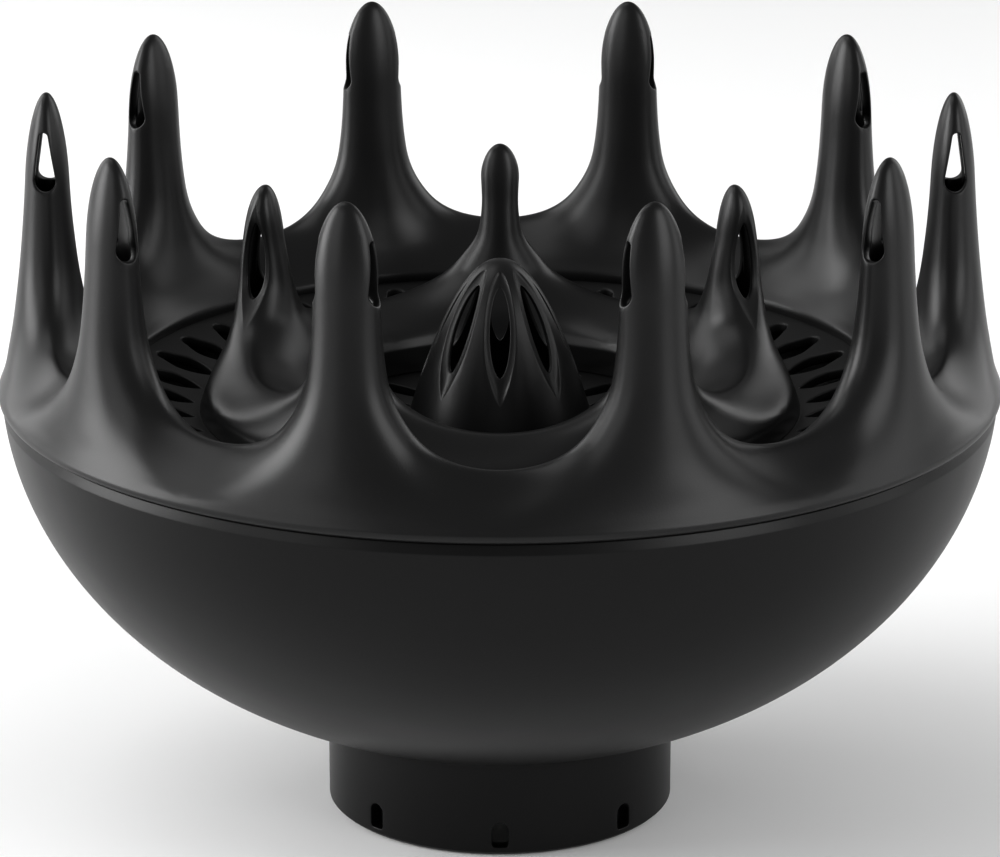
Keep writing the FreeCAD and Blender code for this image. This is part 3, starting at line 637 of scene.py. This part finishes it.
def outer_grille():
    sheets = Sheets()
    low, high = 45.45, 56.6

    def top(r):
        return RING_FOOT + GRILLE_SLOPE * (r - GRILLE_FOOT)

    def bottom(r):
        return top(r) - GRILLE_THICK
    segments = grille(sheets, 40, 0.0, low, high, top, bottom, leaf(46.0, 55.5, 5.2, 1.5), 0.3)
    land = GRILLE_FOOT + (CROWN_FLANGE - RING_FOOT) / GRILLE_SLOPE
    under = CROWN_FLANGE - GRILLE_THICK
    outside = rounded([(high, top(high)), (land, CROWN_FLANGE), (CROWN_LAND, CROWN_FLANGE), (CROWN_LAND, 67.1),
                       (60.4, 67.1), (60.4, under), (land, under), (high, bottom(high))], 0.12, 2)
    heel = RING_FOOT - GRILLE_THICK
    inside = rounded([(low, bottom(low)), (GRILLE_FOOT, heel), (43.2, heel), (43.2, RING_FOOT),
                      (GRILLE_FOOT, RING_FOOT), (low, top(low))], 0.05, 2)
    sheets.grid(turned(outside, segments, closed=False))
    sheets.grid(turned(inside, segments, closed=False))
    return sheets


def inner_grille():
    sheets = Sheets()
    low, high = 14.35, 27.2
    top = INNER_FLOOR
    bottom = top - GRILLE_THICK
    segments = grille(sheets, 20, math.pi / 20, low, high, lambda r: top + 0 * r, lambda r: bottom + 0 * r,
                      leaf(15.0, 26.3, 3.1, 1.2), 0.2)
    outside = rounded([(high, top), (29.3, top), (29.3, 62.2), (30.3, 62.2), (30.3, bottom), (high, bottom)],
                      0.15, 2)
    inside = rounded([(low, bottom), (12.25, bottom), (12.25, top), (low, top)], 0.1, 2)
    sheets.grid(turned(outside, segments, closed=False))
    sheets.grid(turned(inside, segments, closed=False))
    return sheets


CONE_TOP = 85.1
CONE_FOOT = 60.0
CONE_SPREAD = 2.80                  # radius is this times the root of the distance below the top
CONE_WALL = 1.2
CONE_SECTORS = 8
CONE_PANEL = (84.15, 65.0)          # heights between which the recesses lie
CONE_PANEL_IN = (83.3, 65.0)        # the same on the inside


def cone_radius(z, wall=0.0):
    foot = CONE_SPREAD * math.sqrt(CONE_TOP - CONE_FOOT)
    top = CONE_TOP - 1.1 * wall
    return (foot - wall) * np.sqrt(np.maximum(top - z, 0) / (top - CONE_FOOT))


def centre_cone():
    sheets = Sheets()
    wall = CONE_WALL
    sector = math.pi / CONE_SECTORS
    columns = 14
    rows = 36
    angles = np.linspace(-sector, sector, columns + 1)
    block = (0, rows, 0, columns)
    borders = []
    for thick, ends in ((0.0, CONE_PANEL), (wall, CONE_PANEL_IN)):
        level = np.linspace(*ends, rows + 1)
        grid = np.stack([round_point(cone_radius(z, thick), angles, z) for z in level])
        borders.append(border_of(np.stack([grid[..., 0], grid[..., 2]], -1), block))

    def outer(p):
        return np.sqrt(np.maximum(cone_radius(p[:, 1])**2 - p[:, 0]**2, 0))

    def inner(p):
        return np.sqrt(np.maximum(cone_radius(p[:, 1], wall)**2 - p[:, 0]**2, 0))

    def floor(p):
        half = np.maximum(almond_half(p[:, 1], CONE_RECESS), 0.02)
        t = np.clip(p[:, 0] / half, -1, 1)
        return outer(p) - 0.62 * np.clip(half / 1.2, 0, 1) * (1 - t**2)**0.7
    cuts = opening(borders[0], borders[1], almond(0.0, CONE_HOLE), outer, inner, 0.13,
                   pocket=almond(0.0, CONE_RECESS), floor=floor)
    sheets.loops(local_point(cuts[..., 2], cuts[..., 0], cuts[..., 1]))
    top, shoulder = CONE_TOP, CONE_PANEL[0]
    top_in, shoulder_in = CONE_TOP - 1.1 * wall, CONE_PANEL_IN[0]
    low = CONE_PANEL[1]
    cap_out = [(float(cone_radius(z)), z) for z in top - (top - shoulder) * np.linspace(1, 0, 9)**2]
    cap_in = [(float(cone_radius(z, wall)), z)
              for z in top_in - (top_in - shoulder_in) * np.linspace(0, 1, 7)**2]
    skirt = [(float(cone_radius(z)), z) for z in np.linspace(low, CONE_FOOT, 9)]
    ledge = CONE_FOOT + wall
    inside = [(float(cone_radius(z, wall)), z) for z in np.linspace(ledge, low, 7)]
    spigot, socket, end = 12.2, 11.0, 57.4
    foot = rounded([skirt[-1], (spigot, CONE_FOOT), (spigot, end), (socket, end), (socket, ledge), inside[0]],
                   0.12, 2)[1:]
    sheets.spread(CONE_SECTORS)
    for profile in (cap_out, cap_in, skirt + foot + inside[1:]):
        part = Sheets()
        part.grid(turned(profile, CONE_SECTORS * columns, closed=False))
        part.points = [about_z(points, sector) for points in part.points]
        sheets.join(part)
    return sheets


# ---------------------------------------------------------------- materials
def plastic(name, colour, rough, grain, fleck, shine=0.42):
    """Satin moulded plastic: fine spark-eroded grain, slow changes in gloss and a few pale specks of dust."""
    material = bpy.data.materials.new(name)
    material.use_nodes = True
    tree = material.node_tree
    shader = tree.nodes["Principled BSDF"]
    shader.inputs["IOR"].default_value = 1.49
    shader.inputs["Specular IOR Level"].default_value = shine
    place = tree.nodes.new("ShaderNodeTexCoord")

    def noise(scale, detail, roughness=0.5):
        node = tree.nodes.new("ShaderNodeTexNoise")
        node.inputs["Scale"].default_value = scale
        node.inputs["Detail"].default_value = detail
        node.inputs["Roughness"].default_value = roughness
        tree.links.new(place.outputs["Object"], node.inputs["Vector"])
        return node

    def ramp(source, low, high, first, last):
        node = tree.nodes.new("ShaderNodeMapRange")
        node.inputs["From Min"].default_value = low
        node.inputs["From Max"].default_value = high
        node.inputs["To Min"].default_value = first
        node.inputs["To Max"].default_value = last
        tree.links.new(source, node.inputs["Value"])
        return node.outputs["Result"]
    cloud = noise(28.0, 3.0)
    gloss = ramp(cloud.outputs["Fac"], 0.35, 0.65, rough - 0.03, rough + 0.03)
    tree.links.new(gloss, shader.inputs["Roughness"])
    tone = tree.nodes.new("ShaderNodeMix")
    tone.data_type = "RGBA"
    tone.inputs["A"].default_value = (*[c * 0.9 for c in colour], 1)
    tone.inputs["B"].default_value = (*[c * 1.12 for c in colour], 1)
    mottle = noise(60.0, 4.0)
    tree.links.new(ramp(mottle.outputs["Fac"], 0.35, 0.65, 0.0, 1.0), tone.inputs["Factor"])
    dust = noise(2600.0, 1.0)
    specks = tree.nodes.new("ShaderNodeMix")
    specks.data_type = "RGBA"
    specks.inputs["B"].default_value = (*[min(1.0, c * 2.6 + 0.012) for c in colour], 1)
    tree.links.new(tone.outputs["Result"], specks.inputs["A"])
    tree.links.new(ramp(dust.outputs["Fac"], 0.70, 0.80, 0.0, fleck), specks.inputs["Factor"])
    tree.links.new(specks.outputs["Result"], shader.inputs["Base Color"])
    fine = noise(3800.0, 2.0, 0.6)
    bump = tree.nodes.new("ShaderNodeBump")
    bump.inputs["Strength"].default_value = grain
    bump.inputs["Distance"].default_value = 0.00004
    tree.links.new(fine.outputs["Fac"], bump.inputs["Height"])
    tree.links.new(bump.outputs["Normal"], shader.inputs["Normal"])
    return material


def steel(name):
    """Zinc-plated screw steel with turned marks and a patchy passivated tint."""
    material = plastic(name, (0.42, 0.42, 0.43), 0.34, 0.2, 0.1)
    material.node_tree.nodes["Principled BSDF"].inputs["Metallic"].default_value = 1.0
    return material


BODY = plastic("bowl_plastic", (0.0030, 0.0030, 0.0031), 0.36, 0.25, 0.25, shine=0.3)
TOP = plastic("crown_plastic", (0.0070, 0.0070, 0.0072), 0.34, 0.22, 0.25)
GRATE = plastic("grille_plastic", (0.0050, 0.0050, 0.0052), 0.5, 0.3, 0.2)
CONE = plastic("cone_plastic", (0.0070, 0.0070, 0.0072), 0.34, 0.22, 0.25)
SPREADER = plastic("deflector_plastic", (0.02, 0.02, 0.02), 0.6, 0.5, 0.3)
RUBBER = plastic("grip_rubber", (0.02, 0.02, 0.021), 0.75, 0.6, 0.5)
SEAL = plastic("seal_rubber", (0.004, 0.004, 0.004), 0.8, 0.6, 0.2)
STEEL = steel("screw_steel")


def piece(name, sheets, material, slot, *nodes):
    data = sheets.mesh(name)
    made = bpy.data.objects.new(name, data)
    scene.collection.objects.link(made)
    data.materials.append(material)
    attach(made, "root")
    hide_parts(*nodes)


piece("crown", crown_shell(), TOP, "crown_plastic", "crown_shell")
piece("inner_fingers", inner_finger_ring(), TOP, "crown_plastic", "inner_finger_ring")
piece("bowl", bowl_shell(), BODY, "bowl_plastic", "bowl_shell")
piece("outer_slots", outer_grille(), GRATE, "grille_plastic", "outer_grille")
piece("inner_slots", inner_grille(), GRATE, "grille_plastic", "inner_grille")
piece("cone", centre_cone(), CONE, "cone_plastic", "centre_cone")
for node, material in (("nozzle_grip_ring", RUBBER), ("crown_seal_ring", SEAL), ("air_deflector", SPREADER),
                       ("crown_screws", STEEL), ("ring_screws", STEEL)):
    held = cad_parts[node]
    held.data.materials.clear()
    held.data.materials.append(material)


# ---------------------------------------------------------------- floor, light and camera
CENTRE = (0, 0, 0.06)


def area(name, location, size, power, size_y=None):
    """Area light that faces the middle of the object."""
    light = bpy.data.lights.new(name, "AREA")
    light.shape = "RECTANGLE" if size_y else "SQUARE"
    light.size = size
    if size_y:
        light.size_y = size_y
    light.energy = power
    lamp = bpy.data.objects.new(name, light)
    scene.collection.objects.link(lamp)
    lamp.location = location
    x, y, z = np.array(location) - np.array(CENTRE)
    lamp.rotation_euler = (math.atan2(math.hypot(x, y), z), 0, math.atan2(x, -y))


def studio():
    mesh = bpy.data.meshes.new("floor")
    side = 6.0
    corners = [(-side, -side, 0), (side, -side, 0), (side, side, 0), (-side, side, 0)]
    mesh.from_pydata(corners, [], [(0, 1, 2, 3)])
    floor = bpy.data.objects.new("floor", mesh)
    floor.location.z = -0.0002
    scene.collection.objects.link(floor)
    paper = bpy.data.materials.new("paper")
    paper.use_nodes = True
    shader = paper.node_tree.nodes["Principled BSDF"]
    shader.inputs["Base Color"].default_value = (0.93, 0.93, 0.93, 1)
    shader.inputs["Roughness"].default_value = 0.9
    mesh.materials.append(paper)
    world = bpy.data.worlds.new("studio")
    scene.world = world
    world.use_nodes = True
    world.node_tree.nodes["Background"].inputs["Color"].default_value = (1, 1, 1, 1)
    world.node_tree.nodes["Background"].inputs["Strength"].default_value = 0.4


scene.view_settings.view_transform = "Standard"
scene.view_settings.gamma = 0.8
studio()
area("left_box", (-0.9, 0.0, 0.3), 0.5, 8.8, 0.7)
area("left_back_box", (-0.7, 0.6, 0.4), 0.5, 2.8, 0.7)
area("left_front_box", (-0.7, -0.6, 0.4), 0.5, 1.9, 0.7)
area("right_box", (0.9, 0.0, 0.3), 0.4, 1.6, 0.7)
area("right_back_box", (0.7, 0.6, 0.4), 0.5, 2.4, 0.7)
area("right_front_box", (0.7, -0.6, 0.4), 0.5, 4.4, 0.7)
area("top_box", (-0.4, 0.1, 0.8), 0.5, 1.4)
camera = bpy.data.cameras.new("camera")
camera.lens = 161.5
camera.sensor_width = 36.0
camera.clip_start = 0.01
eye = bpy.data.objects.new("camera", camera)
scene.collection.objects.link(eye)
eye.location = (0.0, -0.6461, 0.2626)
eye.rotation_euler = (math.radians(72.47), 0, 0)
scene.camera = eye
